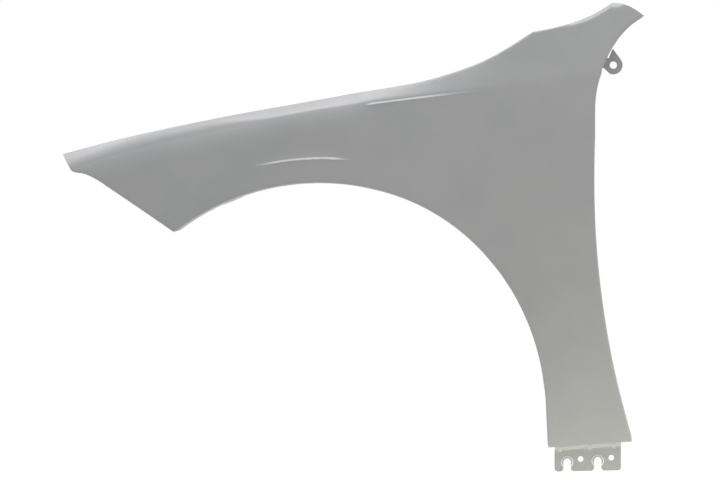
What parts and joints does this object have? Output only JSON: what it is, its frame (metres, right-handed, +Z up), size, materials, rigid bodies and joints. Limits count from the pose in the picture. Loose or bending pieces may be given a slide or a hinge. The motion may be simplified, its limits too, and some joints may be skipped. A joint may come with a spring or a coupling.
{
  "type": "car front fender",
  "caption": "Pressed steel left front fender with wheel arch, hood rail flange, pillar ear and slotted sill tab, in grey primer.",
  "frame": {"origin": "on the inboard face of the lower tab, on the land between its two open slots", "axes": "+X rearwards along the car, +Y inboard, +Z up, as the panel hangs on the body"},
  "size_m": [0.953, 0.1775, 0.7592],
  "materials": {
    "grey_primer": "satin grey electrocoat primer"
  },
  "bodies": {
    "root": {"fender_panel": "grey_primer"}
  },
  "joints": []
}
